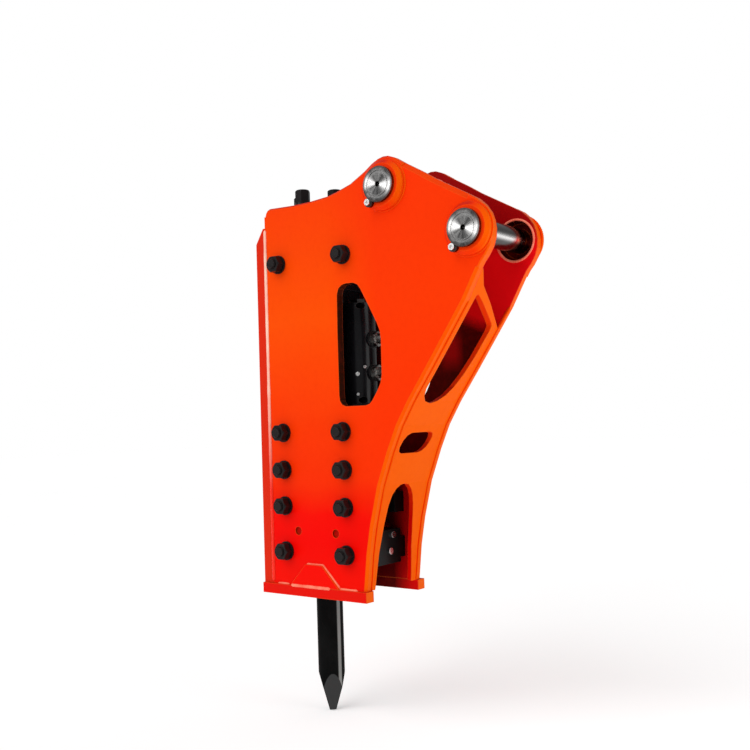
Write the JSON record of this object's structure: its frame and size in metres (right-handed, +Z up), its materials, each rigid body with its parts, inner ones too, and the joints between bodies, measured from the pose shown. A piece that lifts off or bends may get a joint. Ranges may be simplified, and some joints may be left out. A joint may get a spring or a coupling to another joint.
{
  "type": "hydraulic breaker hammer",
  "caption": "Side-mounted hydraulic breaker: hammer body between two shaped side plates, pinned at two ears, with a sliding pointed tool below.",
  "frame": {"origin": "centre of the arm pin, midway between the side plates", "axes": "+Z up along the tool axis, +X from the tool towards the link pin and rear web, +Y along the pins from their headed end to their plain end"},
  "size_m": [0.847, 0.3393, 1.6065],
  "materials": {
    "orange_paint": "gloss",
    "black_paint": "gloss",
    "dark_steel": "black oxide, satin",
    "black_bolt": "black oxide",
    "stud_steel": "oiled",
    "bright_steel": "turned",
    "zinc_steel": "zinc plated",
    "brass": "satin",
    "bush_bronze": "machined",
    "black_rubber": "matte"
  },
  "bodies": {
    "bracket_and_hammer": {"side_plate_left": "orange_paint", "side_plate_right": "orange_paint", "front_plate": "orange_paint", "rear_web": "orange_paint", "foot_bars": "orange_paint", "foot_gussets": "orange_paint", "ear_pads": "orange_paint", "arm_bushes": "orange_paint", "link_bushes": "orange_paint", "side_studs": "stud_steel", "side_washers": "black_bolt", "side_nuts": "black_bolt", "front_head": "black_paint", "cylinder": "black_paint", "back_head": "black_paint", "through_bolts": "black_bolt", "through_washers": "black_bolt", "valve_housing": "black_paint", "valve_plug": "black_paint", "valve_screws": "black_paint", "inlet_adaptor": "zinc_steel", "outlet_adaptor": "zinc_steel", "port_seals": "black_rubber", "upper_bush": "bush_bronze", "lower_bush": "bush_bronze", "dust_seal": "black_rubber", "bush_pin": "bright_steel", "rod_pins": "bright_steel", "rod_pin_plugs": "black_rubber", "seal_retainer": "bright_steel", "gas_seals": "black_rubber", "nose_seal": "black_rubber", "gas_valve": "bright_steel", "grease_nipple": "brass", "channel_plugs": "bright_steel"},
    "tool": {"tool": "dark_steel"},
    "piston": {"piston": "bright_steel"},
    "spool": {"valve_spool": "bright_steel"},
    "arm_pin_set": {"arm_pin": "bright_steel", "arm_pin_screw": "bright_steel"},
    "link_pin_set": {"link_pin": "bright_steel", "link_pin_screw": "bright_steel"}
  },
  "joints": [
    {"name": "tool_slide", "type": "slide", "parent": "bracket_and_hammer", "child": "tool", "axis": [0, 0, 1], "range_m": [0, 0.045]},
    {"name": "piston_slide", "type": "slide", "parent": "bracket_and_hammer", "child": "piston", "axis": [0, 0, 1], "range_m": [0, 0.09]},
    {"name": "spool_slide", "type": "slide", "parent": "bracket_and_hammer", "child": "spool", "axis": [0, 0, 1], "range_m": [0, 0.02]},
    {"name": "arm_pin_slide", "type": "slide", "parent": "bracket_and_hammer", "child": "arm_pin_set", "axis": [0, -1, 0], "range_m": [0, 0.6]},
    {"name": "link_pin_slide", "type": "slide", "parent": "bracket_and_hammer", "child": "link_pin_set", "axis": [0, -1, 0], "range_m": [0, 0.6]}
  ]
}
